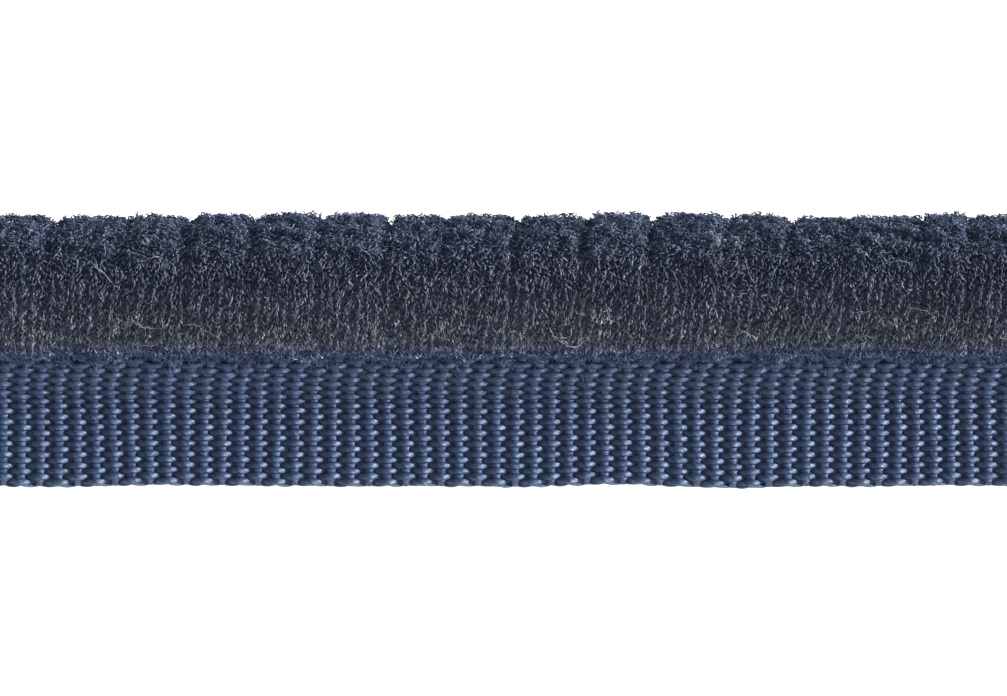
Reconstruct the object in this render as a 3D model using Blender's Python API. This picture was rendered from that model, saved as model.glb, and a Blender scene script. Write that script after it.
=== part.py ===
"""Velvet piping by the length: a round roll of cut pile with a ribbed woven flange.

Metres, +Z up. The piping lies on its back on a surface at z = 0. Its length runs along X, the pile roll
lies on the +Y side and the flange's free edge on the -Y side. The origin is at the bottom centre.
"""

import math
from collections import namedtuple

import bmesh
import bpy

MM = 0.001
GAP = 0.3 * MM  # left between the flange and the slot that holds it

# The whole piping
OVERALL_WIDTH = 20.2 * MM  # highest tuft to the flange's free edge
RIB_PITCH = 1.355 * MM
RIB_COUNT = 62
LENGTH = RIB_COUNT * RIB_PITCH

# The pile roll
ROLL_RADIUS = 4.95 * MM
TUFT_CREST = 0.25 * MM  # the tallest tuft stands this far over the mean radius
ROLL_CENTRE_Y = OVERALL_WIDTH / 2 - ROLL_RADIUS - TUFT_CREST
ROLL_CENTRE_Z = 4.7 * MM  # less than the radius, so the pile is pressed flat where it lies
ROLL_SIDES = 22
ROLL_RIM = 0.9 * MM  # rounding of the pile at each cut end
ROLL_RIM_STEPS = (0.0, 0.12, 0.45)
PARTING_BOW = 0.45 * MM  # how far a parting curves along the roll on its way round
STRAIGHT_END = 6.0 * MM  # partings straighten out towards each cut end over this length

# The flange, from its root in the roll to its free edge
FLANGE_THICKNESS = 1.1 * MM  # underside to rib crest
RIB_DEPTH = 0.24 * MM
FLANGE_EDGE_Y = -OVERALL_WIDTH / 2
FLANGE_ROOT_Y = 1.5 * MM
FLANGE_ROOT_Z = 2.2 * MM  # underside of the flange inside the roll
BEND_TOP_Y = -0.2 * MM  # the flange leaves the roll here and starts to slope down
BEND_FOOT_Y = -4.2 * MM  # from here to the free edge it lies flat
BEND_ROWS = 7
EDGE_ROUNDING = 0.28 * MM

# Tufts of pile along the roll. Between two tufts the pile parts.
# end: where the tuft ends along X, in mm; rise: its height over the mean radius and part: the depth of
# the parting at its end, both as a share of TUFT_CREST.
Tuft = namedtuple("Tuft", "end rise part")
TUFTS = (
    Tuft(-37.6, 0.2, 0.7),
    Tuft(-32.9, 0.5, 1.6),
    Tuft(-27.4, 0.3, 0.8),
    Tuft(-22.9, 0.4, 1.5),
    Tuft(-18.1, 0.7, 1.0),
    Tuft(-13.2, 0.9, 0.6),
    Tuft(-8.3, 0.9, 1.6),
    Tuft(-4.0, 0.5, 0.5),
    Tuft(1.1, 0.6, 1.5),
    Tuft(6.2, 0.5, 1.4),
    Tuft(11.0, 1.0, 1.7),
    Tuft(16.6, 0.9, 0.9),
    Tuft(21.2, 0.4, 1.6),
    Tuft(25.4, 0.0, 0.4),
    Tuft(30.9, 0.3, 0.6),
    Tuft(34.2, 0.8, 0.5),
    Tuft(38.6, 0.4, 0.8),
    Tuft(LENGTH / 2 / MM, 0.3, 0.0),
)
TUFT_STATIONS = (0.0, 0.14, 0.38, 0.66, 0.88)  # where each tuft is sampled, as a share of its width


def smooth_step(share):
    """0 to 1 with level ends, for a share from 0 to 1."""
    share = min(max(share, 0.0), 1.0)
    return share * share * (3 - 2 * share)


def make_material(name, colour, roughness):
    material = bpy.data.materials.new(name)
    material.use_nodes = True
    shader = material.node_tree.nodes["Principled BSDF"]
    shader.inputs["Base Color"].default_value = (*colour, 1.0)
    shader.inputs["Roughness"].default_value = roughness
    shader.inputs["Metallic"].default_value = 0.0
    return material


def make_object(name, mesh_builder, material):
    """One node: a bmesh from mesh_builder, with its faces pointing out."""
    bm = mesh_builder()
    bmesh.ops.recalc_face_normals(bm, faces=bm.faces)
    mesh = bpy.data.meshes.new(name)
    bm.to_mesh(mesh)
    bm.free()
    mesh.materials.append(material)
    mesh.shade_smooth()
    mesh.set_sharp_from_angle(angle=math.radians(50))
    made = bpy.data.objects.new(name, mesh)
    bpy.context.collection.objects.link(made)
    return made


def bridge_rings(bm, rings):
    """Quads between neighbouring rings of points, and a flat face on the first and last ring."""
    loops = [[bm.verts.new(point) for point in ring] for ring in rings]
    for near, far in zip(loops, loops[1:]):
        for i, corner in enumerate(near):
            after = (i + 1) % len(near)
            bm.faces.new((corner, near[after], far[after], far[i]))
    bm.faces.new(loops[0])
    bm.faces.new(list(reversed(loops[-1])))


# --- The pile roll ---------------------------------------------------------------------------------


def tuft_stations():
    """(x, rise) along the roll: each parting, and points over each tuft between its two partings."""
    stations = []
    start = -LENGTH / 2
    parting = 0.0
    for tuft in TUFTS:
        end = tuft.end * MM
        for share in TUFT_STATIONS:
            crown = 1 - (2 * share - 1) ** 4
            nearest = parting if share < 0.5 else tuft.part
            rise = tuft.rise * crown - nearest * (1 - crown)
            stations.append((start + share * (end - start), rise * TUFT_CREST))
        start = end
        parting = tuft.part
    return stations


def roll_stations():
    """(x, radius) from end to end, with the pile rounded over at both cut ends."""
    inner = [(x, rise) for x, rise in tuft_stations() if abs(x) < LENGTH / 2 - ROLL_RIM]
    stations = []
    for share in ROLL_RIM_STEPS:
        inward = ROLL_RIM * share
        drop = ROLL_RIM - math.sqrt(ROLL_RIM**2 - (ROLL_RIM - inward) ** 2)
        stations.append((LENGTH / 2 - inward, ROLL_RADIUS - drop))
    left = [(-x, radius) for x, radius in stations]
    middle = [(x, ROLL_RADIUS + rise) for x, rise in inner]
    return left + middle + list(reversed(stations))


def slot_lip_angle(radius, z):
    """Angle round the roll's centre, from +Y towards +Z, of the slot's lip at height z on the -Y side."""
    return math.pi - math.asin((z - ROLL_CENTRE_Z) / radius)


def roll_ring(x, radius):
    """One section of the roll, with the slot for the flange's root on its -Y side."""
    slot_low = FLANGE_ROOT_Z - GAP
    slot_high = FLANGE_ROOT_Z + FLANGE_THICKNESS + GAP
    slot_back = FLANGE_ROOT_Y + GAP
    upper = slot_lip_angle(radius, slot_high)
    lower = slot_lip_angle(radius, slot_low) - 2 * math.pi
    straight = smooth_step((LENGTH / 2 - abs(x)) / STRAIGHT_END)
    ring = []
    for i in range(ROLL_SIDES + 1):
        angle = upper + (lower - upper) * i / ROLL_SIDES
        bow = PARTING_BOW * straight * math.sin(angle) * math.sin(angle - upper)
        y = ROLL_CENTRE_Y + radius * math.cos(angle)
        z = max(ROLL_CENTRE_Z + radius * math.sin(angle), 0.0)
        ring.append((x + bow, y, z))
    ring.append((x, slot_back, slot_low))
    ring.append((x, slot_back, slot_high))
    return ring


def build_roll():
    bm = bmesh.new()
    bridge_rings(bm, [roll_ring(x, radius) for x, radius in roll_stations()])
    return bm


# --- The woven flange ------------------------------------------------------------------------------


def flange_underside(y):
    """Height of the flange's underside: flat on the surface, then sloping up into the roll."""
    return FLANGE_ROOT_Z * smooth_step((y - BEND_FOOT_Y) / (BEND_TOP_Y - BEND_FOOT_Y))


def flange_slope(y):
    step = 0.01 * MM
    return (flange_underside(y + step) - flange_underside(y - step)) / (2 * step)


def flange_top(y, depth):
    """Point on the flange's upper face over the underside at y, depth below a rib's crest."""
    slope = math.atan(flange_slope(y))
    height = FLANGE_THICKNESS - depth
    return (y - height * math.sin(slope), flange_underside(y) + height * math.cos(slope))


def flange_rows():
    """Places across the flange, from its free edge to its root, with more rows over the bend."""
    bend = [BEND_FOOT_Y + (BEND_TOP_Y - BEND_FOOT_Y) * i / BEND_ROWS for i in range(BEND_ROWS + 1)]
    return [FLANGE_EDGE_Y + EDGE_ROUNDING, *bend, FLANGE_ROOT_Y]


def flange_section(x, depth):
    """One section across the flange: underside from root to free edge, then the upper face back."""
    rows = flange_rows()
    ring = [(x, y, flange_underside(y)) for y in reversed(rows)]
    edge_y, edge_z = flange_top(FLANGE_EDGE_Y, depth + EDGE_ROUNDING)
    ring.append((x, edge_y, EDGE_ROUNDING))
    ring.append((x, edge_y, edge_z))
    ring.extend((x, *flange_top(y, depth)) for y in rows)
    return ring


def build_flange():
    """Ribs across the flange: a valley at each end of a rib, and a crest as wide as a third of it."""
    sections = []
    for rib in range(RIB_COUNT):
        start = -LENGTH / 2 + rib * RIB_PITCH
        sections.append((start, RIB_DEPTH))
        sections.append((start + RIB_PITCH / 3, 0.0))
        sections.append((start + RIB_PITCH * 2 / 3, 0.0))
    sections.append((LENGTH / 2, RIB_DEPTH))
    bm = bmesh.new()
    bridge_rings(bm, [flange_section(x, depth) for x, depth in sections])
    return bm


def main():
    for old in list(bpy.data.objects):
        bpy.data.objects.remove(old, do_unlink=True)
    pile = make_material("velvet_pile", (0.036, 0.043, 0.068), 0.85)
    weave = make_material("ribbed_weave", (0.055, 0.078, 0.135), 0.6)
    make_object("velvet_roll", build_roll, pile)
    make_object("woven_flange", build_flange, weave)


main()
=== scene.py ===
import math

import bpy
import numpy as np
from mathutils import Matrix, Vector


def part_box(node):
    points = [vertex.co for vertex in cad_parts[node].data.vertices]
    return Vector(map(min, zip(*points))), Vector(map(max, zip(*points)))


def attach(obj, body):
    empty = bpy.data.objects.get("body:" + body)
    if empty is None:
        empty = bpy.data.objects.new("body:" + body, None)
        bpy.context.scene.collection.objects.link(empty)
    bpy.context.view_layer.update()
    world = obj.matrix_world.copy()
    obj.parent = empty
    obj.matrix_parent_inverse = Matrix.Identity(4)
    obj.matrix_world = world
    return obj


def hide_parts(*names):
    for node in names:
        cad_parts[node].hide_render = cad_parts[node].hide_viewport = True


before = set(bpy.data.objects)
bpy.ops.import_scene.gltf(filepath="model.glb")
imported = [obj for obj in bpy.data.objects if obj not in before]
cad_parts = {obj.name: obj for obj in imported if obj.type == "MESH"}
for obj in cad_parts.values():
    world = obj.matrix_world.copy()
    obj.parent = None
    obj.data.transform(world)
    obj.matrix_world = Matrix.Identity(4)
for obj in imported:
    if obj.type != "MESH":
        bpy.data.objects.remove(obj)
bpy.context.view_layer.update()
rollLow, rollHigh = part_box("velvet_roll")
flangeLow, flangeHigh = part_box("woven_flange")
mm = 0.001
print("solids: roll", rollLow, rollHigh, "flange", flangeLow, flangeHigh)

# sizes that the pieces share with the solids, in metres
piping = {
    "length": flangeHigh.x - flangeLow.x,
    "ribs": 62,
    "rollRadius": 4.95 * mm,
    "rollY": 4.9 * mm,
    "rollZ": 4.7 * mm,
    "tuftCrest": 0.25 * mm,  # the unit for rises and partings in tufts
    "partingBow": 0.45 * mm,
    "straightEnd": 6.0 * mm,
    "flangeThick": 1.1 * mm,
    "flangeEdge": flangeLow.y,
    "flangeRootY": 0.8 * mm,  # the yarns stop here, inside the roll
    "flangeRootZ": 2.2 * mm,
    "bendTop": -0.2 * mm,
    "bendFoot": -4.2 * mm,
    "slotTop": 3.55 * mm,
    "slotFoot": 1.95 * mm,
}
halfLength = piping["length"] / 2
rollRadius = piping["rollRadius"]
ribPitch = piping["length"] / piping["ribs"]

# the tufts along the roll: where each ends in mm, its rise and the depth of the parting after it
tufts = {
    "ends": (
        -37.6, -32.9, -27.4, -22.9, -18.1, -13.2, -8.3, -4.0, 1.1, 6.2, 11.0, 16.6, 21.2, 25.4,
        30.9, 34.2, 38.6, halfLength / mm,
    ),
    "rises": (0.2, 0.5, 0.3, 0.4, 0.7, 0.9, 0.9, 0.5, 0.6, 0.5, 1, 0.9, 0.4, 0, 0.3, 0.8, 0.4, 0.3),
    "parts": (0.7, 1.6, 0.8, 1.5, 1, 0.6, 1.6, 0.5, 1.5, 1.4, 1.7, 0.9, 1.6, 0.4, 0.6, 0.5, 0.8, 0),
}
tuft = {
    "crownPower": 6,  # how square a tuft is between its partings
    "crestDepth": 0.16,  # share of a parting's depth that shows on the crown of the roll
    "backDepth": 1.14,  # added to that at the back
    "backRise": 0.4,
    "backFrom": (0.1, 0.7),  # of the angle's cosine
    "slotTurn": math.pi + 0.22,  # partings stand straight here, at the slot's upper lip
}


def smoothStep(share):
    # 0 to 1 with level ends: three times the square less twice the cube
    share = np.clip(share, 0.0, 1.0)
    return share * share * (3 - 2 * share)


def ripple(a, b, size, seed, waves=7):
    # smooth noise from about -1 to 1: a sum of sine waves of about that size, each with its own heading
    draw = np.random.default_rng(seed)
    heading = draw.random(waves) * 2 * math.pi
    rate = 2 * math.pi / size * (0.6 + 0.9 * draw.random(waves))
    start = draw.random(waves) * 2 * math.pi
    total = np.zeros(np.broadcast(a, b).shape)
    for h, r, s in zip(heading, rate, start):
        total += np.sin(a * r * math.cos(h) + b * r * math.sin(h) + s)
    return total / math.sqrt(waves) * 0.8


def layered(a, b, layers):
    # ripples added up, each given as (share, size, seed)
    return sum(share * ripple(a, b, size, seed) for share, size, seed in layers)


def joined(x, y, z):
    # x, y and z into points
    return np.stack(np.broadcast_arrays(x, y, z), -1)


def unit(vectors):
    # each vector over its own length
    return vectors / np.maximum(np.linalg.norm(vectors, axis=-1, keepdims=True), 1e-12)


def addObject(name, data):
    # an object in the scene for a mesh, a lamp or a camera
    made = bpy.data.objects.new(name, data)
    bpy.context.scene.collection.objects.link(made)
    return made


def meshFromArrays(name, points, quads, triangles=()):
    # points (n, 3), quads (m, 4) and triangles (k, 3) go straight into a mesh
    mesh = bpy.data.meshes.new(name)
    quads = np.asarray(quads, np.int32).reshape(-1, 4)
    triangles = np.asarray(triangles, np.int32).reshape(-1, 3)
    corners = np.concatenate([quads.ravel(), triangles.ravel()]).astype(np.int32)
    starts = np.concatenate([np.arange(len(quads)) * 4, len(quads) * 4 + np.arange(len(triangles)) * 3])
    mesh.vertices.add(len(points))
    mesh.vertices.foreach_set("co", np.asarray(points, np.float32).ravel())
    mesh.loops.add(len(corners))
    mesh.loops.foreach_set("vertex_index", corners)
    mesh.polygons.add(len(starts))
    mesh.polygons.foreach_set("loop_start", starts.astype(np.int32))
    mesh.update(calc_edges=True)
    mesh.validate()
    mesh.shade_smooth()
    return addObject(name, mesh)


def addMap(piece, name, values):
    # values (number of points, 2): one place per point, copied to its corners
    mesh = piece.data
    corners = np.zeros(len(mesh.loops), np.int32)
    mesh.loops.foreach_get("vertex_index", corners)
    layer = mesh.uv_layers.new(name=name)
    layer.data.foreach_set("uv", np.asarray(values, np.float32)[corners].ravel())


def addTone(piece, name, values):
    # values (number of points, 4) as a colour attribute on the points
    attribute = piece.data.color_attributes.new(name, "FLOAT_COLOR", "POINT")
    attribute.data.foreach_set("color", np.asarray(values, np.float32).ravel())


# shapes shared with the solids; angles run round the roll from +Y over the top


def backShare(angle):
    # 0 over the crown and the flange side, 1 at the back of the roll
    start, width = tuft["backFrom"]
    return smoothStep((np.cos(angle) - start) / width)


def onRoll(x, radius, angle):
    # the point at that radius and angle round the roll's centre line
    y = piping["rollY"] + radius * np.cos(angle)
    return joined(x, y, piping["rollZ"] + radius * np.sin(angle))


def tuftRise(x, angle):
    # height over the mean radius: each tuft swells between its partings, which bow along the roll
    straight = smoothStep((halfLength - np.abs(x)) / piping["straightEnd"])
    x = x - piping["partingBow"] * straight * np.sin(angle) * np.sin(angle - tuft["slotTurn"])
    ends, rises, parts = (np.array(row) for row in tufts.values())
    ends = ends * mm
    starts = np.append(-halfLength, ends[:-1])
    before = np.append(0.0, parts[:-1])
    at = np.clip(np.searchsorted(ends, x), 0, len(ends) - 1)
    share = np.clip((x - starts[at]) / (ends[at] - starts[at]), 0, 1)
    crown = 1 - (2 * share - 1) ** tuft["crownPower"]
    nearest = np.where(share < 0.5, before[at], parts[at])
    back = backShare(angle)
    depth = nearest * (1 - crown) * (tuft["crestDepth"] + tuft["backDepth"] * back)
    return (rises[at] * crown * (1 + tuft["backRise"] * back) - depth) * piping["tuftCrest"]


def flangeUnderside(y):
    # height of the flange's underside: flat, then a smooth step up to its root
    share = (y - piping["bendFoot"]) / (piping["bendTop"] - piping["bendFoot"])
    return piping["flangeRootZ"] * smoothStep(share)


def flangeLine(height):
    # the flange's section at that height over its underside: arc length, y, z and the section's slope
    y = np.linspace(piping["flangeEdge"], piping["flangeRootY"], 1600)
    z = flangeUnderside(y)
    slope = np.arctan(np.gradient(z, y))
    lineY = y - height * np.sin(slope)
    lineZ = z + height * np.cos(slope)
    run = np.append(0, np.cumsum(np.hypot(np.diff(lineY), np.diff(lineZ))))
    return run, lineY, lineZ, slope


middleLine = flangeLine(piping["flangeThick"] / 2)
flangeWidth = middleLine[0][-1]


def onMiddle(across):
    # y, z and slope of the flange's middle line, that far along it from the free edge
    return [np.interp(across, middleLine[0], line) for line in middleLine[1:]]


# node helpers and the effects that materials share


def feed(node, values):
    # each value goes to the input of that name or number: a number, three numbers or another node's socket
    for key, value in values.items():
        if isinstance(value, bpy.types.NodeSocket):
            node.id_data.links.new(value, node.inputs[key])
        else:
            isColour = node.inputs[key].type == "RGBA"
            node.inputs[key].default_value = (*value, 1.0) if isColour else value


def addNode(tree, kind, values, **settings):
    # a shader node of that kind, its settings made first; gives back its outputs
    made = tree.nodes.new("ShaderNode" + kind)
    for key, setting in settings.items():
        setattr(made, key, setting)
    feed(made, values)
    return made.outputs


def addMath(tree, operation, *values):
    # one Math node on those values
    return addNode(tree, "Math", dict(enumerate(values)), operation=operation)[0]


noiseInputs = ("Scale", "Detail", "Roughness", "Distortion")


def addNoise(tree, place, settings):
    # noise at that place, its settings in the order above
    return addNode(tree, "TexNoise", {"Vector": place, **dict(zip(noiseInputs, settings))})["Fac"]


def addShade(tree, value, darkAt, lightAt, dark, light):
    # dark to light as the value goes from one level to the other
    share = addNode(tree, "MapRange", {"Value": value, "From Min": darkAt, "From Max": lightAt})[0]
    return addNode(tree, "Mix", {"Factor": share, "A": dark, "B": light}, data_type="RGBA")["Result"]


def startGroup(name, inputs, outputs):
    # an empty node group; inputs and outputs give the kind of each named socket
    tree = bpy.data.node_groups.new(name, "ShaderNodeTree")
    for way, sockets in (("INPUT", inputs), ("OUTPUT", outputs)):
        for label, kind in sockets.items():
            tree.interface.new_socket(name=label, in_out=way, socket_type="NodeSocket" + kind)
    return tree, tree.nodes.new("NodeGroupInput").outputs, tree.nodes.new("NodeGroupOutput")


def startMaterial(name):
    # a material with its node tree and its Principled shader
    material = bpy.data.materials.new(name)
    material.use_nodes = True
    return material, material.node_tree, material.node_tree.nodes["Principled BSDF"]


stroke = {
    "stretch": (8.0, 2.2, 1.0),  # fine fibres are long and narrow, along the plies
    "fibres": (1.0, 3.0),
    "patches": (3300.0, 5.0, 0.72),
    # how much the ply relief paints shade into the colour
    "paintedPlyShade": 0.75,
    "patchShare": 0.5,
    "patchShift": -0.15,
    "darkAt": 0.21,
    "lightAt": 0.60,
    "patchRange": (0.35, 0.65),
    "glossier": -0.10,
    "duller": 0.12,
}


def makeStrokeGroup():
    # twisted plies as the cosine of (turn times plies less run), mixed with fibres along them; patches of
    # noise make the yarn lighter, darker, glossier and duller in places
    inputs = dict(Map="Vector", Place="Vector", Plies="Float", Fibres="Float", Dark="Color", Light="Color")
    outputs = dict(Colour="Color", Roughness="Float", Height="Float")
    tree, ins, outs = startGroup("plyStrokes", {**inputs, "Roughness": "Float"}, outputs)
    split = addNode(tree, "SeparateXYZ", {0: ins["Map"]})
    slant = addMath(tree, "SUBTRACT", addMath(tree, "MULTIPLY", split["Y"], ins["Plies"]), split["X"])
    wave = addMath(tree, "COSINE", addMath(tree, "MULTIPLY", slant, 2 * math.pi))
    level = addNode(tree, "MapRange", {"Value": wave, "From Min": -1.0})[0]
    along = addNode(tree, "CombineXYZ", {"X": slant, "Y": split["X"]})[0]
    stretch = addNode(tree, "Mapping", {"Vector": along, "Scale": stroke["stretch"]})[0]
    fibres = addNoise(tree, stretch, stroke["fibres"])
    height = addNode(tree, "Mix", {"Factor": ins["Fibres"], "A": level, "B": fibres})["Result"]
    patches = addNoise(tree, ins["Place"], stroke["patches"])
    shift = addMath(tree, "MULTIPLY_ADD", patches, stroke["patchShare"], stroke["patchShift"])
    # painted shade: the colour follows the ply relief, darker in the grooves between plies and lighter on
    # their crests
    shade = addMath(tree, "MULTIPLY_ADD", height, stroke["paintedPlyShade"], shift)
    colour = addShade(tree, shade, stroke["darkAt"], stroke["lightAt"], ins["Dark"], ins["Light"])
    gloss = addNode(tree, "MapRange", {
        "Value": patches,
        "From Min": stroke["patchRange"][0],
        "From Max": stroke["patchRange"][1],
        "To Min": addMath(tree, "ADD", ins["Roughness"], stroke["glossier"]),
        "To Max": addMath(tree, "ADD", ins["Roughness"], stroke["duller"]),
    })[0]
    feed(outs, {"Colour": colour, "Roughness": gloss, "Height": height})
    return tree


def makeGrainGroup():
    # fine noise over a cloth, read as a height and as a colour from dark to light between two levels of it
    inputs = {"Place": "Vector", "Dark": "Color", "Light": "Color", "DarkAt": "Float", "LightAt": "Float"}
    inputs.update((name, "Float") for name in noiseInputs)
    tree, ins, outs = startGroup("clothGrain", inputs, {"Colour": "Color", "Height": "Float"})
    grain = addNoise(tree, ins["Place"], [ins[name] for name in noiseInputs])
    colour = addShade(tree, grain, ins["DarkAt"], ins["LightAt"], ins["Dark"], ins["Light"])
    feed(outs, {"Colour": colour, "Height": grain})
    return tree


def makeToneGroup():
    # a strand's colour: cool to warm by its warmth, times its own level, with painted shade darker towards
    # its root
    inputs = {"Tone": "Color", "Cool": "Color", "Warm": "Color", "RootShade": "Float", "TipShade": "Float"}
    tree, ins, outs = startGroup("strandColourRootShade", inputs, {"Colour": "Color"})
    split = addNode(tree, "SeparateColor", {0: ins["Tone"]})
    hue = addShade(tree, split["Blue"], 0.0, 1.0, ins["Cool"], ins["Warm"])
    ends = {"To Min": ins["RootShade"], "To Max": ins["TipShade"]}
    root = addNode(tree, "MapRange", {"Value": split["Red"], **ends})[0]
    level = addMath(tree, "MULTIPLY", root, split["Green"])
    feed(outs, {"Colour": addNode(tree, "HueSaturation", {"Color": hue, "Value": level})[0]})
    return tree


plyStrokes = makeStrokeGroup()
clothGrain = makeGrainGroup()
strandColourRootShade = makeToneGroup()
print("node groups", len(bpy.data.node_groups))


def makeYarnMaterial(name, look):
    # plied yarn with glints: colour with painted shade in the ply grooves, gloss and relief from the
    # strokes
    material, tree, shader = startMaterial(name)
    strokes = addNode(tree, "Group", {
        "Map": addNode(tree, "UVMap", {}, uv_map="yarnRun")[0],
        "Place": addNode(tree, "TexCoord", {})["Object"],
        "Plies": yarn["plies"],
        "Fibres": yarn["fibres"],
        "Dark": look["dark"],
        "Light": look["light"],
        "Roughness": look["roughness"],
    }, node_tree=plyStrokes)
    relief = addNode(tree, "Bump", {"Distance": yarn["relief"], "Height": strokes["Height"]})
    feed(shader, {
        "Base Color": strokes["Colour"],
        "Roughness": strokes["Roughness"],
        "Normal": relief[0],
        "IOR": yarn["ior"],
        "Specular IOR Level": 1.0,
        "Specular Tint": yarn["glintTint"],
    })
    return material


def makeGroundMaterial(name, look):
    # the dull cloth below yarns or pile, with a grain and, where it shows, the grain's relief
    material, tree, shader = startMaterial(name)
    grain = addNode(tree, "Group", {
        "Place": addNode(tree, "TexCoord", {})["Object"],
        **dict(zip(noiseInputs, look["grain"])),
        "Dark": look["dark"],
        "Light": look["light"],
        "DarkAt": look["darkAt"],
        "LightAt": look["lightAt"],
    }, node_tree=clothGrain)
    feed(shader, {"Base Color": grain["Colour"], "Roughness": look["roughness"]})
    if look["relief"] > 0:
        relief = addNode(tree, "Bump", {"Distance": look["relief"], "Height": grain["Height"]})
        feed(shader, {"Normal": relief[0]})
    return material


def makeFibreMaterial(name, look):
    # soft fibres, coloured by strandTone = (share along the strand, level, warmth, gloss)
    material, tree, shader = startMaterial(name)
    tone = addNode(tree, "Attribute", {}, attribute_name="strandTone")
    colour = addNode(tree, "Group", {
        "Tone": tone["Color"],
        "Cool": look["cool"],
        "Warm": look["warm"],
        # painted shade along each strand, from its root to its tip
        "RootShade": fibre["root"],
        "TipShade": fibre["tip"],
    }, node_tree=strandColourRootShade)
    shineValues = {"Value": tone["Alpha"], "To Min": fibre["leastShine"], "To Max": look["specular"]}
    shine = addNode(tree, "MapRange", shineValues)
    feed(shader, {
        "Base Color": colour[0],
        "Specular IOR Level": shine[0],
        "Roughness": look["roughness"],
        "Sheen Weight": fibre["sheen"],
        "Sheen Roughness": fibre["sheenRoughness"],
        "Sheen Tint": fibre["sheenTint"],
    })
    return material


# the flange's yarns

yarn = {
    "sides": 6,
    "plies": 2.0,
    "fibres": 0.65,
    "relief": 0.11 * mm,
    "ior": 1.64,
    "glintTint": (0.62, 0.77, 0.90),
    "ribLean": 0.95 * mm,  # how far ribs lean along the piping near the roll
    "ribLeanReach": 4.6 * mm,
    "ribLeanPower": 1.3,
    "ribWander": ((0.09 * mm, 14 * mm, 31), (0.036 * mm, 3 * mm, 32)),
    "edgeWander": ((0.115 * mm, 13 * mm, 33),),
    "edgeReach": 7 * mm,
}
warp = {
    "pitch": 0.405 * mm,
    "firstAt": 0.02 * mm,
    "rootSpare": 0.5 * mm,
    "wave": 0.36 * mm,
    "crestHalfWidth": 0.27 * mm,
    "crossHalfWidth": 0.22 * mm,
    "halfHeight": 0.19 * mm,
    "upright": 0.35,
    "skew": 0.36,
    "fullness": 0.78,
    "crestReach": 1.6,
    "jitter": ((0.03 * mm, 1.7 * mm, 8),),
    "fray": 0.35 * mm,
    "fraySeed": 5,
    "samplesPerRib": 10,
    "plyPitch": 0.62 * mm,
    "plyShift": 0.37,
    "dark": (0.024, 0.035, 0.078),
    "light": (0.056, 0.092, 0.190),
    "roughness": 0.46,
}


def ribShift(x, across):
    # ribs lean along the piping near the roll and wander a little all over; across runs from the free edge
    reach = yarn["ribLeanReach"]
    share = smoothStep((across - (flangeWidth - reach)) / reach)
    return yarn["ribLean"] * share ** yarn["ribLeanPower"] + layered(x, across, yarn["ribWander"])


def edgeWander(x, across):
    # the free edge wanders slowly to and fro; the effect fades towards the roll
    return layered(x, 0, yarn["edgeWander"]) * smoothStep(1 - across / yarn["edgeReach"])


def carryRings(centres, sideways, upwards, halfWidth, halfHeight):
    # an ellipse of that half width and height at each centre, for several yarns: (yarn, sample, side, 3)
    angle = np.arange(yarn["sides"]) * 2 * math.pi / yarn["sides"]
    flat = (halfWidth[..., None] * np.cos(angle))[..., None] * sideways[..., None, :]
    tall = (halfHeight[..., None] * np.sin(angle))[..., None] * upwards[..., None, :]
    return centres[..., None, :] + flat + tall


def tubeFaces(yarns, samples, sides):
    # quads round and along each tube
    y, s, k = np.meshgrid(np.arange(yarns), np.arange(samples - 1), np.arange(sides), indexing="ij")
    base = (y * samples + s) * sides
    after = (k + 1) % sides
    quads = np.stack([base + k, base + sides + k, base + sides + after, base + after], -1)
    return quads.reshape(-1, 4)


def endFaces(yarns, samples, sides):
    # triangles that close both ends of each tube
    fan = np.array([(0, i, i + 1) for i in range(1, sides - 1)])
    first = (np.arange(yarns) * samples * sides)[:, None, None] + fan[None]
    last = ((np.arange(yarns) * samples + samples - 1) * sides)[:, None, None] + fan[None, :, ::-1]
    return np.concatenate([first.reshape(-1, 3), last.reshape(-1, 3)])


def makeTubes(name, rings, runLength, material):
    # rings (yarn, sample, side, 3) to one mesh, with a map in turns along and round each yarn, and a map
    # with a strip for each yarn
    yarns, samples, sides = rings.shape[:3]
    quads = tubeFaces(yarns, samples, sides)
    piece = meshFromArrays(name, rings.reshape(-1, 3), quads, endFaces(yarns, samples, sides))
    along = np.broadcast_to(runLength[..., None], (yarns, samples, sides))
    around = np.broadcast_to(np.arange(sides) / sides, (yarns, samples, sides))
    addMap(piece, "yarnRun", np.stack([along, around], -1).reshape(-1, 2))
    strip = (np.arange(yarns)[:, None, None] + 0.04 + 0.9 * np.abs(2 * around - 1)) / yarns
    share = (along - along.min()) / (along.max() - along.min()) * 0.98 + 0.01
    addMap(piece, "OFBake", np.stack([share, strip], -1).reshape(-1, 2))
    piece.data.materials.append(material)
    return piece


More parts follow.
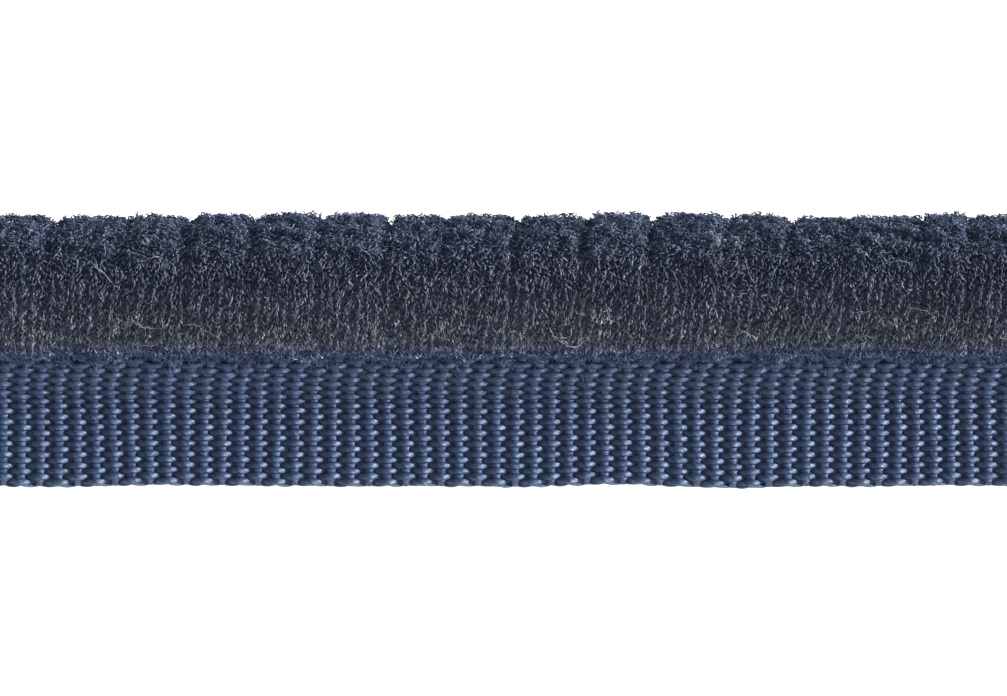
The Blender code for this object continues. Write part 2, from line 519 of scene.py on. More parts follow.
def warpRings(picked):
    # each warp yarn runs along X, over and under the ribs in turn: a sine wave with full crests that lean
    # forwards, so that a float climbs slowly and drops quickly
    across = (picked + 0.5) * warp["pitch"] + warp["firstAt"]
    samples = piping["ribs"] * warp["samplesPerRib"] + 1
    draw = np.random.default_rng(warp["fraySeed"])
    fray = draw.random((200, 2))[picked] * warp["fray"]
    share = np.linspace(0, 1, samples)
    x = -halfLength - fray[:, :1] + share * (piping["length"] + fray.sum(1, keepdims=True))
    phase = math.pi * (x + halfLength - ribPitch / 2) / ribPitch + math.pi * picked[:, None]
    wave = np.cos(phase - warp["skew"] * np.cos(phase))
    full = np.sign(wave) * np.abs(wave) ** warp["fullness"]
    across = across[:, None]
    y, z, slope = onMiddle(across)
    tilt = slope * warp["upright"]
    jitter = layered(x, across, warp["jitter"])
    rise = warp["wave"] * full
    y = y + edgeWander(x, across)
    lineY = y - rise * np.sin(tilt) + jitter * np.cos(tilt)
    lineZ = z + rise * np.cos(tilt) + jitter * np.sin(tilt)
    centres = joined(x + ribShift(x, across), lineY, lineZ)
    along = unit(np.gradient(centres, axis=1))
    sideways = joined(0 * x, np.cos(tilt), np.sin(tilt))
    upwards = unit(np.cross(along, sideways))
    crest = np.clip(warp["crestReach"] * np.abs(full), 0, 1)
    halfWidth = warp["crossHalfWidth"] + (warp["crestHalfWidth"] - warp["crossHalfWidth"]) * crest
    halfHeight = warp["halfHeight"] + 0 * crest
    rings = carryRings(centres, sideways, upwards, halfWidth, halfHeight)
    return rings, x / warp["plyPitch"] + warp["plyShift"] * picked[:, None]


warpMaterial = makeYarnMaterial("warpYarn", warp)
yarnCount = int((flangeWidth - warp["rootSpare"]) / warp["pitch"])
warpPieces = []
for index, picked in enumerate(np.array_split(np.arange(yarnCount), 2)):
    warpPieces.append(makeTubes(f"warp_yarns_{index + 1}", *warpRings(picked), warpMaterial))
print("warp yarns", yarnCount, [len(p.data.polygons) for p in warpPieces])

weft = {
    "halfWidth": 0.43 * mm,
    "halfHeight": 0.29 * mm,
    "shift": 0.13 * mm,
    "samples": 26,
    "loopOut": 0.10 * mm,  # how far an end reaches past the free edge
    "loopSpread": 0.08 * mm,
    "spreadReach": 0.3 * mm,
    "spreadSeed": 12,
    "endNarrow": 0.45,
    "endReach": 0.35 * mm,
    "plyPitch": 0.9 * mm,
    "plyShift": 0.21,
    # painted light: the weft is the warp's yarn made lighter, so that it shows bright between the floats
    "dark": (0.034, 0.050, 0.108),
    "light": (0.086, 0.150, 0.340),
    "roughness": 0.48,
}


def weftRings():
    # a weft lies under each rib's floats, straight across from the root to just past the free edge
    ribs = np.arange(piping["ribs"])
    across = np.linspace(flangeWidth, -weft["loopOut"], weft["samples"])[None, :]
    x = -halfLength + (ribs[:, None] + 0.5) * ribPitch + 0 * across
    draw = np.random.default_rng(weft["spreadSeed"])
    spread = (draw.random((len(ribs), 1)) - 0.5) * weft["loopSpread"]
    across = across - spread * (across < weft["spreadReach"])
    y, z, tilt = onMiddle(across)
    y = y + np.minimum(across, 0) + edgeWander(x, across)
    centres = joined(x + weft["shift"] + ribShift(x, across), y, z)
    sideways = np.array([1.0, 0, 0])
    upwards = joined(0 * x, -np.sin(tilt), np.cos(tilt))
    fromEnd = smoothStep((across + weft["loopOut"]) / weft["endReach"])
    narrow = weft["endNarrow"] + (1 - weft["endNarrow"]) * fromEnd
    halfWidth, halfHeight = weft["halfWidth"] * narrow, weft["halfHeight"] * narrow
    rings = carryRings(centres, sideways, upwards, halfWidth, halfHeight)
    return rings, across / weft["plyPitch"] + weft["plyShift"] * ribs[:, None]


loops = {
    "samples": 9,
    "out": (0.05 * mm, 0.15 * mm),
    "outSeed": 14,
    "inset": 0.06 * mm,
    "swing": 0.22 * mm,
    "halfWidth": 0.13 * mm,
    "tallness": 1.25,
}


def loopRings():
    # the weft's turns at the free edge: a half sine outwards from each rib to the next, up and down in turn
    ribs = np.arange(0, piping["ribs"] - 1)
    share = np.linspace(0, 1, loops["samples"])[None, :]
    draw = np.random.default_rng(loops["outSeed"])
    least, most = loops["out"]
    out = least + (most - least) * draw.random((len(ribs), 1))
    x = -halfLength + (ribs[:, None] + 0.5 + share) * ribPitch
    y = piping["flangeEdge"] - out * np.sin(math.pi * share) + loops["inset"] + edgeWander(x, 0)
    z = piping["flangeThick"] / 2 + loops["swing"] * np.cos(math.pi * (share + ribs[:, None]))
    centres = joined(x + weft["shift"] + ribShift(x, 0), y, z)
    along = unit(np.gradient(centres, axis=1))
    sideways = unit(np.cross(along, np.array([0, 0, 1.0])))
    upwards = np.cross(sideways, along)
    width = loops["halfWidth"] + 0 * x
    rings = carryRings(centres, -sideways, upwards, width, width * loops["tallness"])
    return rings, x / weft["plyPitch"]


weftPaintedLitMaterial = makeYarnMaterial("weftYarnPaintedLit", weft)
weftPiece = makeTubes("weft_yarns", *weftRings(), weftPaintedLitMaterial)
loopPiece = makeTubes("selvedge_loops", *loopRings(), warpMaterial)
print("weft yarns", len(weftPiece.data.polygons), len(loopPiece.data.polygons))

flangeGroundLook = {
    "thick": 0.22 * mm,
    "rows": 30,
    "edgeIn": 0.1 * mm,
    "grain": (2500.0, 2.0, 0.5, 0.0),
    "dark": (0.040, 0.046, 0.080),
    "light": (0.060, 0.070, 0.120),
    "darkAt": 0.3,
    "lightAt": 0.7,
    "roughness": 0.9,
    "relief": 0.0,
}


def makeFlangeGround(look):
    # the cloth between the yarns: the flange's middle line carried along X, with a little thickness
    rows, columns = look["rows"], piping["ribs"] + 1
    x = np.linspace(-halfLength, halfLength, columns)[:, None]
    layers = []
    for side in (0.5, -0.5):
        run, lineY, lineZ, _ = flangeLine(piping["flangeThick"] / 2 + side * look["thick"])
        across = np.linspace(look["edgeIn"], run[-1], rows)[None, :]
        shift = ribShift(x, across) * (np.abs(x) < halfLength)
        layers.append(joined(x + shift, np.interp(across, run, lineY), np.interp(across, run, lineZ)))
    points = np.stack(layers, 2)  # (column, row, layer, 3)
    index = np.arange(columns * rows * 2).reshape(columns, rows, 2)
    top, low = index[:, :, 0], index[:, :, 1]
    patches = (
        (top[:-1, :-1], top[1:, :-1], top[1:, 1:], top[:-1, 1:]),
        (low[:-1, :-1], low[:-1, 1:], low[1:, 1:], low[1:, :-1]),
        (low[:-1, 0], low[1:, 0], top[1:, 0], top[:-1, 0]),
        (top[:-1, -1], top[1:, -1], low[1:, -1], low[:-1, -1]),
        (top[0, :-1], top[0, 1:], low[0, 1:], low[0, :-1]),
        (low[-1, :-1], low[-1, 1:], top[-1, 1:], top[-1, :-1]),
    )
    quads = np.concatenate([np.stack(patch, -1).reshape(-1, 4) for patch in patches])
    piece = meshFromArrays("flange_ground", points.reshape(-1, 3), quads)
    piece.data.materials.append(makeGroundMaterial("flangeGround", look))
    return piece


groundPiece = makeFlangeGround(flangeGroundLook)
print("flange ground", len(groundPiece.data.polygons))

# how the pile changes round the roll; angles in degrees from +Y over the top, so 90 is the crown of the
# roll and 190 the edge that rests on the flange. Negative angles are the underside.
pileZones = {
    "angle": (-180, -20, 0, 30, 55, 75, 105, 125, 150, 170, 195),
    "lean": (10, 50, 70, 70, 60, 44, 36, 20, 14, 30, 40),
    "scatter": (14, 40, 90, 90, 50, 14, 9, 9, 12, 40, 60),
    "length": (0.8, 0.52, 0.4, 0.42, 0.52, 0.78, 0.8, 0.6, 0.52, 0.5, 0.5),
    "thick": (0.07, 0.06, 0.058, 0.058, 0.066, 0.075, 0.077, 0.076, 0.064, 0.042, 0.036),
    "curl": (0.3, 0.6, 0.75, 0.8, 0.75, 0.42, 0.3, 0.27, 0.35, 0.9, 1),
    "fold": (0, 0.5, 0.6, 0.6, 0.5, 0.25, 0, 0, 0.1, 0.5, 0.6),
    "spread": (0.3, 0.3, 0.12, 0.12, 0.14, 0.14, 0.14, 0.2, 0.28, 0.35, 0.4),
    # level: strand brightness round the roll, partly the pile's own tone; the high levels at 170 and 195
    # are painted light against the shade where the pile meets the flange
    "level": (0.9, 1, 1.4, 1.37, 1.2, 1.05, 1.02, 1, 1.02, 1.75, 2.1),
    "gloss": (0.5, 0.1, 0, 0, 0.1, 0.2, 0.3, 0.8, 1, 0.2, 0.1),
    "warmth": (0.2, 0.08, 0.08, 0.08, 0.16, 0.34, 0.44, 0.52, 0.45, 0.1, 0),
    "paintedGlints": (0.05, 0.02, 0.01, 0.01, 0.01, 0.015, 0.03, 0.15, 0.2, 0.04, 0.02),
}
pile = {
    "pieces": 4,
    "seen": 8400,  # strands in each piece
    "under": 2000,
    "backEdge": 4300,
    "underFrom": math.radians(-65),
    "seenFrom": math.radians(-20),
    "evenSteps": (0.7548776662, 0.5698402910),
    "shake": (0.05 * mm, 0.012),  # along the roll, and round it in radians
    "uneven": (0.75, 1.25),  # lengths and thicknesses vary by this
    "leanSpread": 14,
    "stand": (0.4, 0.85, 0.35),  # the least share that stands up, how much of it counts, less where folded
    "slotClear": (0.8 * mm, 2.1 * mm, 3.0 * mm),  # no roots below that y between those two heights
    "floorClear": 0.02 * mm,
    "sway": ((17, 3.2 * mm, 41), (9, 1.2 * mm, 42)),
    "rim": 0.9 * mm,
    "rimSplay": 0.8,
    "lumps": ((1.0, 2.0 * mm, 51), (0.7, 0.9 * mm, 52)),
    "lump": 0.10 * mm,
    "backLump": 0.12 * mm,
    "backDrop": 0.31 * mm,
    "skirt": 0.55 * mm,
    "skirtFrom": (163, 28),
    "skirtWander": ((0.5, 3.5 * mm, 53),),
    "gather": 0.9,  # how strongly tips lean together into locks
    "gatherStep": 0.05 * mm,
    "longFrom": (60, 50),
    "longTo": (190, -15),
    "roundTo": (80, -40),
    "longLocks": ((1.0, 0.8 * mm, 71),),
    "longLockShape": 0.35,  # locks are this much shorter round the roll's arc than noise of the same size
    "roundLocks": ((1.0, 0.8 * mm, 72),),
    "cool": (0.071, 0.101, 0.176),
    "warm": (0.160, 0.147, 0.158),
    "roughness": 0.45,
    "specular": 0.5,
}
fibre = {
    # painted shade: a strand's colour is this share at the root, rising to the tip's share
    "root": 0.62,
    "tip": 1.12,
    "leastShine": 0.08,
    "sheen": 0.10,
    "sheenRoughness": 0.5,
    "sheenTint": (0.66, 0.78, 1.0),
    "sideHint": (0.31, 0.17, 0.93),  # no strand lies quite along this
    "foot": 0.8,
    "waist": 0.85,
    "parts": ((-0.35, 0.6), (0.25, -0.1), (0.9, -1.1)),  # turns of each third with curl and fold
}
slotAngleHigh = math.pi - math.asin((piping["slotTop"] - piping["rollZ"]) / rollRadius)
slotAngleLow = -math.pi - math.asin((piping["slotFoot"] - piping["rollZ"]) / rollRadius)


def zone(name, angle):
    # a pile setting at that angle, read off the table above
    return np.interp(np.degrees(angle), pileZones["angle"], pileZones[name])


def past(angle, start, width):
    # 0 before that angle, 1 from that many degrees past it; a negative width turns it round
    return smoothStep((np.degrees(angle) - start) / width)


def strandMesh(name, paths, thick, tone, material):
    # three-sided tubes along paths (strand, place, 3), closed at the root and pointed at the last place
    count, places = paths.shape[:2]
    draw = np.random.default_rng(count)
    along = unit(paths[:, 1:] - paths[:, :-1])
    side = unit(np.cross(along, np.array(fibre["sideHint"])))
    other = np.cross(along, side)
    turn = draw.random(count)[:, None] * 2 * math.pi + np.arange(3)[None, :] * 2 * math.pi / 3
    turn = turn[:, None, :, None]
    ring = np.cos(turn) * side[:, :, None, :] + np.sin(turn) * other[:, :, None, :]
    swell = np.linspace(fibre["waist"], 1.0, places - 1)
    swell[0] = fibre["foot"]
    rings = paths[:, :-1, None, :] + ring * (thick[:, None] * swell)[:, :, None, None]
    points = np.concatenate([rings.reshape(count, -1, 3), paths[:, -1:]], axis=1)
    points[..., 2] = np.maximum(points[..., 2], 0.01 * mm)
    size = points.shape[1]
    base = (np.arange(count) * size)[:, None, None]
    corners = [(3 * k + i, 3 * k + (i + 1) % 3) for k in range(places - 2) for i in range(3)]
    quads = np.array([(a, b, b + 3, a + 3) for a, b in corners])
    top, tip = 3 * (places - 2), size - 1
    triangles = np.array([(top, top + 1, tip), (top + 1, top + 2, tip), (top + 2, top, tip), (0, 2, 1)])
    piece = meshFromArrays(name, points.reshape(-1, 3), base + quads[None], base + triangles[None])
    share = np.append(np.repeat(np.linspace(0, 1, places)[:-1], 3), 1.0)
    values = np.ones((count, size, 4))
    # the share along the strand, which sets the painted shade towards the root
    values[..., 0] = share
    values[..., 1:4] = tone[:, None, :]
    addTone(piece, "strandTone", values.reshape(-1, 4))
    cells = math.ceil(math.sqrt(count))  # the map is a square of cells, one for each strand
    cell = np.stack([np.arange(count) % cells, np.arange(count) // cells], -1)[:, None, :] / cells
    inCell = np.stack([np.append(np.tile([0.1, 0.5, 0.9], places - 1), 0.5), 0.1 + 0.8 * share], -1) / cells
    addMap(piece, "OFBake", (cell + inCell[None]).reshape(-1, 2))
    piece.data.materials.append(material)
    return piece


def strandPaths(roots, normal, heading, length, curl, fold, draw):
    # root, two places along and a tip. Each part turns away from the last by the curl, at random; a folded
    # strand leaves along the normal and comes back down towards its tip
    swing = draw.normal(size=(len(roots), 3)) * curl[:, None]
    rise = normal * fold[:, None]
    step = (length / 3)[:, None]
    places = [roots]
    for turn, lift in fibre["parts"]:
        places.append(places[-1] + unit(heading + turn * swing + lift * rise) * step)
    return np.stack(places, 1)


tones = {
    "highTo": (80, -30),
    "lowFrom": (110, 30),
    "broad": (0.14, 6.0 * mm, 61),
    "broadArc": 0.7 * mm,  # broad bands run round the roll, nearly straight
    "clumps": (1.3 * mm, 62),
    "clumpShare": (0.26, 0.10),  # all over, and added low on the roll
    "lowClumps": (0.30, 0.45 * mm, 69),
    "lowClumpArc": 0.5,
    "fluff": ((1.0, 0.5 * mm, 63), (0.6, 1.1 * mm, 64)),
    "fluffShare": 0.30,
    "wide": (0.20, 3.5 * mm, 65),
    # locks: lighter and darker stripes, partly tone and partly painted shade in the gaps between locks
    "locks": (0.2 * mm, 66, 11),
    "lockBend": (0.25 * mm, 1.3 * mm, 67),
    "lockArc": 0.33,
    "lockShare": (0.24, 0.12, 0.85),  # all over, added low on the roll, and the share lost high up
    # painted glints: how they cluster, how far a cluster may gather them, and how much brighter they are
    "paintedGlintGroups": (0.9, 3.0 * mm, 68),
    "groupLimit": 2.5,
    "paintedGlintLevel": (1.4, 2.35),
    "warmthSpread": 0.5,
    # brighter strands, the painted glints among them, turn warmer, towards the pale colour of a highlight
    "warmthByLevel": 0.35,
}


def pileTone(x, angle, draw):
    # level, warmth and gloss of each strand: the zone's level times e to the power of a random spread and
    # ripples in several sizes, with painted glints: a few strands made bright as highlights; brighter
    # strands are warmer
    count = len(x)
    arc = angle * rollRadius
    high, low = past(angle, *tones["highTo"]), past(angle, *tones["lowFrom"])
    bands = layered(x, angle * tones["broadArc"], (tones["broad"],))
    share, more = tones["clumpShare"]
    bands += (share + more * low) * ripple(x, arc, *tones["clumps"])
    bands += low * layered(x, tones["lowClumpArc"] * arc, (tones["lowClumps"],))
    bands += tones["fluffShare"] * high * layered(x, arc, tones["fluff"])
    # the lock ripple: partly tone, partly painted shade darkening the gaps between locks
    bent = x + layered(x, arc, (tones["lockBend"],))
    share, more, lost = tones["lockShare"]
    locks = ripple(bent, tones["lockArc"] * arc, *tones["locks"])
    bands += (share + more * low) * (1 - lost * high) * locks
    bands += layered(x, arc, (tones["wide"],))
    level = zone("level", angle) * np.exp(zone("spread", angle) * draw.normal(size=count) + bands)
    # painted glints: strands brightened in clusters to stand in for highlights
    groups = np.clip(1 + layered(x, arc, (tones["paintedGlintGroups"],)), 0, tones["groupLimit"])
    paintedGlint = draw.random(count) < zone("paintedGlints", angle) * groups
    level = np.where(paintedGlint, level * draw.uniform(*tones["paintedGlintLevel"], count), level)
    warmth = zone("warmth", angle) * (1 + tones["warmthSpread"] * draw.normal(size=count))
    warmth = warmth + tones["warmthByLevel"] * np.log(level / zone("level", angle))
    return joined(level, np.clip(warmth, 0, 1), zone("gloss", angle))


def pileLumps(x, angle):
    # small lumps of the tips, deeper at the back of the roll, where the pile is a little shorter
    back = backShare(angle)
    height = pile["lump"] + pile["backLump"] * back
    lumps = layered(x, angle * rollRadius, pile["lumps"])
    return height * lumps - pile["backDrop"] * back


def skirtRise(angle):
    # how far the pile swells over the flange
    return pile["skirt"] * past(angle, *pile["skirtFrom"])


def rimDrop(x):
    # how far the pile is rounded over at the cut ends: a quarter circle
    inward = np.clip(halfLength - np.abs(x), 0, pile["rim"])
    return pile["rim"] - np.sqrt(pile["rim"] ** 2 - (pile["rim"] - inward) ** 2)


def climb(a, b, stepA, stepB, layers):
    # how much ripples rise over two steps
    return layered(a + stepA, b + stepB, layers) - layered(a - stepA, b - stepB, layers)


def gatherPull(x, angle):
    # neighbouring tips lean together up the slope of a ripple, along the roll and round it: into long locks
    # low on the roll and round ones high up
    arc, step = angle * rollRadius, pile["gatherStep"]
    low = past(angle, *pile["longFrom"]) * past(angle, *pile["longTo"])
    high = past(angle, *pile["roundTo"])
    slope = climb(x, pile["longLockShape"] * arc, step, 0, pile["longLocks"])
    across = climb(x, arc, step, 0, pile["roundLocks"])
    along = climb(x, arc, 0, step, pile["roundLocks"])
    return pile["gather"] * (low * slope + high * across), pile["gather"] * high * along


def strandsRound(count, span, x, low, high, draw):
    # strands spread evenly over the roll between two angles, x being where the stretch starts; their places
    # come from two steps that never repeat, so no rows show
    order = np.arange(count)
    stepX, stepAngle = pile["evenSteps"]
    shakeX, shakeAngle = pile["shake"]
    x = x + span * np.mod(0.5 + order * stepX, 1.0) + draw.normal(size=count) * shakeX
    x = np.clip(x, -halfLength, halfLength)
    angle = low + (high - low) * np.mod(0.5 + order * stepAngle, 1.0) + draw.normal(size=count) * shakeAngle
    angle = np.clip(angle, slotAngleLow, slotAngleHigh)
    arc = angle * rollRadius
    length = zone("length", angle) * mm * draw.uniform(*pile["uneven"], count)
    thick = zone("thick", angle) * mm * draw.uniform(*pile["uneven"], count)
    lean = np.radians(zone("lean", angle) + pile["leanSpread"] * draw.normal(size=count))
    sway = layered(x, arc, pile["sway"]) + zone("scatter", angle) * draw.normal(size=count)
    sway = np.radians(sway)
    normal = joined(0, np.cos(angle), np.sin(angle))
    roundward = joined(0, -np.sin(angle), np.cos(angle))
    tangent = roundward * np.where(angle > pile["seenFrom"], 1, -1)[:, None]
    laid = tangent * np.cos(sway)[:, None] + joined(np.sin(sway), 0, 0)
    heading = unit(normal * np.cos(lean)[:, None] + laid * np.sin(lean)[:, None])
    skirt = skirtRise(angle) * (1 + layered(x, 0, pile["skirtWander"]))
    least, share, folded = pile["stand"]
    stand = length * np.clip(np.cos(lean), least, 1) * share * (1 - folded * zone("fold", angle))
    radius = rollRadius + tuftRise(x, angle) + pileLumps(x, angle) + skirt - stand - rimDrop(x)
    nearEnd = 1 - np.clip((halfLength - np.abs(x)) / pile["rim"], 0, 1)
    pullX, pullRound = gatherPull(x, angle)
    heading[:, 0] += np.sign(x) * nearEnd * pile["rimSplay"] + pullX
    heading += pullRound[:, None] * roundward
    roots = onRoll(x, radius, angle)
    paths = strandPaths(roots, normal, heading, length, zone("curl", angle), zone("fold", angle), draw)
    front, low, high = pile["slotClear"]
    inSlot = (roots[:, 1] < front) & (roots[:, 2] < high) & (roots[:, 2] > low)
    keep = (roots[:, 2] > pile["floorClear"]) & ~inSlot
    return paths[keep], thick[keep], pileTone(x, angle, draw)[keep]


cutEnd = {
    "strands": 900,
    "turn": 2.399963,  # the golden angle, which spreads them evenly over the disc
    "rimIn": 0.5 * mm,
    "faceIn": 0.75 * mm,
    "shake": 0.05 * mm,
    "splay": 0.9,
    "scatter": 0.28,
    "length": 0.8 * mm,
    "thick": 0.06 * mm,
    "curl": 0.4,
    "level": (0.9, 0.4),
    "warmth": 0.2,
    "gloss": 0.6,
}


def strandsOnEnd(outward, draw):
    # the cut end: strands on a sunflower spiral, more splayed the further out they stand
    count = cutEnd["strands"]
    ones = np.ones(count)
    turn = np.arange(count) * cutEnd["turn"]
    spread = np.sqrt((np.arange(count) + 0.5) / count) * (rollRadius - cutEnd["rimIn"])
    rim = joined(0, np.cos(turn), np.sin(turn))
    centre = np.array([outward * (halfLength - cutEnd["faceIn"]), piping["rollY"], piping["rollZ"]])
    roots = centre + rim * spread[:, None] + draw.normal(size=(count, 3)) * cutEnd["shake"]
    splay = rim * (cutEnd["splay"] * spread / rollRadius)[:, None]
    heading = unit(np.array([outward, 0.0, 0.0]) + splay + draw.normal(size=(count, 3)) * cutEnd["scatter"])
    length, curl = cutEnd["length"] * ones, cutEnd["curl"] * ones
    paths = strandPaths(roots, 0 * heading, heading, length, curl, 0 * ones, draw)
    middle, vary = cutEnd["level"]
    level = middle * np.exp(vary * draw.normal(size=count))
    return paths, cutEnd["thick"] * ones, joined(level, cutEnd["warmth"], cutEnd["gloss"])


def makePilePiece(index, material):
    # one stretch of the pile that shows, with the cut end where the stretch has one
    draw = np.random.default_rng(100 + index)
    span = piping["length"] / pile["pieces"]
    start = -halfLength + index * span
    sets = [strandsRound(pile["seen"], span, start, pile["seenFrom"], slotAngleHigh, draw)]
    if index in (0, pile["pieces"] - 1):
        sets.append(strandsOnEnd(-1.0 if index == 0 else 1.0, draw))
    paths, thick, tone = (np.concatenate(part) for part in zip(*sets))
    return strandMesh(f"velvet_pile_{index + 1}", paths, thick, tone, material)


def makeUnderPile(material):
    # the underside: a denser band low on the back and a thinner one below, each strand with one place fewer
    draw = np.random.default_rng(99)
    edge, high = pile["underFrom"], pile["seenFrom"]
    sets = [
        strandsRound(pile["backEdge"], piping["length"], -halfLength, edge, high, draw),
        strandsRound(pile["under"], piping["length"], -halfLength, slotAngleLow, edge, draw),
    ]
    paths, thick, tone = (np.concatenate(part) for part in zip(*sets))
    return strandMesh("velvet_pile_under", paths[:, [0, 2, 3]], thick, tone, material)


pileGroundLook = {
    "columns": 300,
    "sides": 56,
    "inward": 0.32 * mm,
    "backOut": 0.16 * mm,
    "endIn": 0.45 * mm,
    "endRound": 0.5 * mm,
    "skirtShare": 0.8,
    "lift": 0.25 * mm,
    "grain": (3400.0, 4.0, 0.65, 1.2),
    "dark": (0.026, 0.033, 0.056),
    "light": (0.098, 0.120, 0.190),
    "darkAt": 0.32,
    "lightAt": 0.70,
    "roughness": 0.95,
    "relief": 0.22 * mm,
}


def makePileGround(look):
    # the dense foot of the pile: the roll's outline drawn in and carried along X, with a fan at each end
    columns, sides, reach = look["columns"], look["sides"], halfLength - look["endIn"]
    angle = np.linspace(slotAngleHigh, slotAngleLow, sides)[None, :] + np.zeros((columns, 1))
    x = np.linspace(-reach, reach, columns)[:, None] + 0 * angle
    radius = rollRadius + tuftRise(x, angle) + pileLumps(x, angle)
    radius -= look["inward"] - look["backOut"] * backShare(angle)
    radius += look["skirtShare"] * skirtRise(angle)
    radius -= look["endRound"] * (1 - smoothStep((reach - np.abs(x)) / look["endRound"]))
    points = onRoll(x, radius, angle)
    points[..., 2] = np.maximum(points[..., 2], look["lift"])
    centres = np.array([[end, piping["rollY"], piping["rollZ"]] for end in (-reach, reach)])
    index = np.arange(columns * sides).reshape(columns, sides)
    after = np.roll(index, -1, axis=1)
    quads = np.stack([index[:-1], index[1:], after[1:], after[:-1]], -1).reshape(-1, 4)
    first = joined(columns * sides, index[0], after[0])
    last = joined(columns * sides + 1, after[-1], index[-1])
    allPoints = np.concatenate([points.reshape(-1, 3), centres])
    piece = meshFromArrays("pile_ground", allPoints, quads, np.concatenate([first, last]))
    piece.data.materials.append(makeGroundMaterial("pileGround", look))
    return piece


pileMaterial = makeFibreMaterial("velvetPile", pile)
pilePieces = [makePilePiece(index, pileMaterial) for index in range(pile["pieces"])]
pilePieces.append(makeUnderPile(pileMaterial))
pileGround = makePileGround(pileGroundLook)
print("pile", [len(p.data.polygons) for p in pilePieces], len(pileGround.data.polygons))

fuzzLook = {
    "count": 8000,
    "seed": 77,
    "length": (0.35 * mm, 0.95 * mm),
    "thick": (0.016 * mm, 0.028 * mm),
    "endSpare": 0.5 * mm,
    "start": 0.35 * mm,
    "reach": 1.5 * mm,
    "beta": (1.1, 2.9),  # most fibres lie near the pile
    "farShare": 0.15,
    "further": 0.5,
    "reachWander": ((0.4, 3.0 * mm, 81),),
    "filletY": (-1.3, -0.9, -0.55, -0.2, 0.35),  # in mm; fuzz fills the corner up to filletZ over the weave
    "filletZ": (0.02, 0.08, 0.35, 1.0, 1.9),
    "filletFill": (0.55, 1.05),
    "outward": (-0.45, -0.5),  # how much fibres head over the weave, and down to it
    "upward": (-0.25, 0.2),
    "clumps": ((0.45, 0.9 * mm, 82), (0.25, 3.0 * mm, 83)),
    "level": (1.1, 0.35),
    "warmth": 0.3,
    "gloss": 0.5,
    "curl": 0.7,
    # painted light: these colours and the level above are lighter than the pile's, against the shade in the
    # corner between the roll and the flange
    "cool": (0.140, 0.190, 0.360),
    "warm": (0.180, 0.185, 0.230),
    "roughness": 0.6,
    "specular": 0.4,
}


def makeFuzz(look, material):
    # loose fine fibres where the pile meets the flange; they lie every way, most of them over the weave
    draw = np.random.default_rng(look["seed"])
    count = look["count"]
    ones = np.ones(count)
    x = draw.uniform(-halfLength + look["endSpare"], halfLength - look["endSpare"], count)
    out = draw.beta(*look["beta"], count) * (1 + look["further"] * (draw.random(count) < look["farShare"]))
    y = look["start"] - look["reach"] * out * (1.0 + layered(x, 0, look["reachWander"]))
    fillet = np.interp(y, np.array(look["filletY"]) * mm, np.array(look["filletZ"]) * mm)
    _, topY, topZ, _ = flangeLine(piping["flangeThick"])
    z = np.interp(y, topY, topZ, left=-1.0) + fillet * draw.uniform(*look["filletFill"], count)
    headX = draw.normal(size=count)
    headY = look["outward"][0] + look["outward"][1] * draw.random(count)
    headZ = look["upward"][0] + look["upward"][1] * draw.normal(size=count)
    heading = unit(joined(headX, headY, headZ))
    length = draw.uniform(*look["length"], size=count)
    thick = draw.uniform(*look["thick"], size=count)
    middle, vary = look["level"]
    level = middle * np.exp(vary * draw.normal(size=count) + layered(x, y, look["clumps"]))
    tone = joined(level, look["warmth"] * draw.random(count), look["gloss"])
    curl = look["curl"] * ones
    paths = strandPaths(joined(x, y, z), 0 * heading, heading, length, curl, 0 * ones, draw)
    return strandMesh("root_fuzz", paths[:, [0, 2, 3]], thick, tone, material)


fuzzPiece = makeFuzz(fuzzLook, makeFibreMaterial("rootFuzz", fuzzLook))

strayLook = {
    "count": 64,
    "places": 8,
    "seed": 55,
    "step": (0.18 * mm, 0.36 * mm),
    "thick": (0.011 * mm, 0.018 * mm),
    "turn": 0.45,
    "clusters": 9,
    "clusterSpread": 1.3 * mm,
    "endSpare": 5 * mm,
    "angles": (35, 160),
    "over": (0.05 * mm, 0.14 * mm),
    "spread": 0.5,
    "gloss": 0.8,
    "cool": (0.42, 0.44, 0.46),
    "warm": (0.42, 0.44, 0.46),
    "roughness": 0.4,
    "specular": 0.5,
}


def makeStrays(look, material):
    # a few long pale fibres caught in the pile: each wanders over the surface, turning a little at every
    # step, and arches clear of it by half a sine
    draw = np.random.default_rng(look["seed"])
    count, places = look["count"], look["places"]
    step = draw.uniform(*look["step"], size=(count, 1))
    heading = draw.uniform(0, 2 * math.pi, (count, 1))
    heading = heading + np.cumsum(look["turn"] * draw.normal(size=(count, places)), axis=1)
    middles = draw.uniform(-halfLength + look["endSpare"], halfLength - look["endSpare"], look["clusters"])
    x = middles[draw.integers(len(middles), size=(count, 1))]
    x = x + look["clusterSpread"] * draw.normal(size=(count, 1))
    x = np.clip(x + np.cumsum(step * np.cos(heading), axis=1), -halfLength, halfLength)
    angle = np.radians(draw.uniform(*look["angles"], (count, 1)))
    angle = angle + np.cumsum(step * np.sin(heading), axis=1) / rollRadius
    least, most = look["over"]
    over = least + most * draw.random((count, 1)) * np.sin(math.pi * np.linspace(0, 1, places))
    radius = rollRadius + tuftRise(x, angle) + pileLumps(x, angle) + over
    level = np.exp(look["spread"] * draw.normal(size=count))
    tone = joined(level, draw.random(count), look["gloss"])
    thick = draw.uniform(*look["thick"], size=count)
    return strandMesh("stray_fibres", onRoll(x, radius, angle), thick, tone, material)


strayPiece = makeStrays(strayLook, makeFibreMaterial("strayFibre", strayLook))
print("loose fibres", fuzzLook["count"], strayLook["count"])

for piece in [*warpPieces, weftPiece, loopPiece, groundPiece]:
    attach(piece, "root")
for piece in [*pilePieces, pileGround, fuzzPiece, strayPiece]:
    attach(piece, "root")
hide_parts("woven_flange")
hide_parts("velvet_roll")

floorLook = {"halfSize": 3.0, "below": 0.02 * mm, "colour": (0.9, 0.9, 0.9), "glow": 0.85}


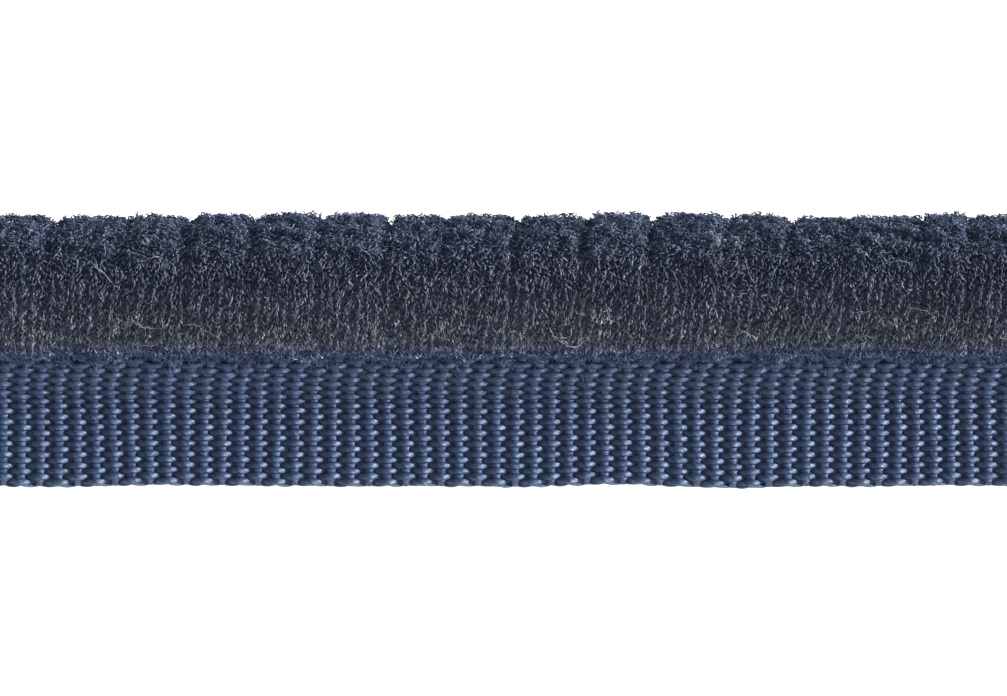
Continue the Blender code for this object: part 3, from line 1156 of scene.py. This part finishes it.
def makeFloor(look):
    # a wide pale plane just under the piping, that glows enough to stay even
    size, below = look["halfSize"], look["below"]
    corners = [(-size, -size, -below), (size, -size, -below), (size, size, -below), (-size, size, -below)]
    made = meshFromArrays("floor", corners, [(0, 1, 2, 3)])
    material, tree, shader = startMaterial("paleFloor")
    feed(shader, {
        "Base Color": look["colour"],
        "Roughness": 0.9,
        "Specular IOR Level": 0.1,
        "Emission Color": (1.0, 1.0, 1.0),
        "Emission Strength": look["glow"],
    })
    made.data.materials.append(material)
    return made


floor = makeFloor(floorLook)

lightLook = {
    # heading from +X towards +Y, height over the floor, strength, softness (angles in degrees) and colour
    "keyLight": (6, 14, 6.8, 18, (1.0, 0.99, 0.97)),
    "frontLight": (-80, 50, 0.5, 30, (1.0, 0.96, 0.92)),
}
worldLook = {"colour": (0.78, 0.89, 1.0), "strength": 0.35}


def addSun(name, azimuth, elevation, strength, softness, colour):
    # a distant soft light from that heading and height
    lamp = bpy.data.lights.new(name, "SUN")
    lamp.energy = strength
    lamp.angle = math.radians(softness)
    lamp.color = colour
    addObject(name, lamp).rotation_euler = (0, math.radians(90 - elevation), math.radians(azimuth))


for name, settings in lightLook.items():
    addSun(name, *settings)
world = bpy.data.worlds.new("studio")
bpy.context.scene.world = world
world.use_nodes = True
sky = world.node_tree.nodes["Background"]
feed(sky, {"Color": worldLook["colour"], "Strength": worldLook["strength"]})
bpy.context.scene.view_settings.view_transform = "Standard"

cameraLook = {
    "lens": 200.0,
    "sensor": 36.0,
    "viewWidth": 74.48 * mm,
    "focusHeight": 2.6 * mm,
    "centreY": 0.066 * mm,
}
camera = addObject("camera", bpy.data.cameras.new("camera"))
camera.data.lens = cameraLook["lens"]
camera.data.sensor_width = cameraLook["sensor"]
distance = cameraLook["viewWidth"] * cameraLook["lens"] / cameraLook["sensor"]
camera.location = (0, cameraLook["centreY"], cameraLook["focusHeight"] + distance)
camera.data.clip_start = 0.01
camera.data.clip_end = 10.0
bpy.context.scene.camera = camera
print("stage set")
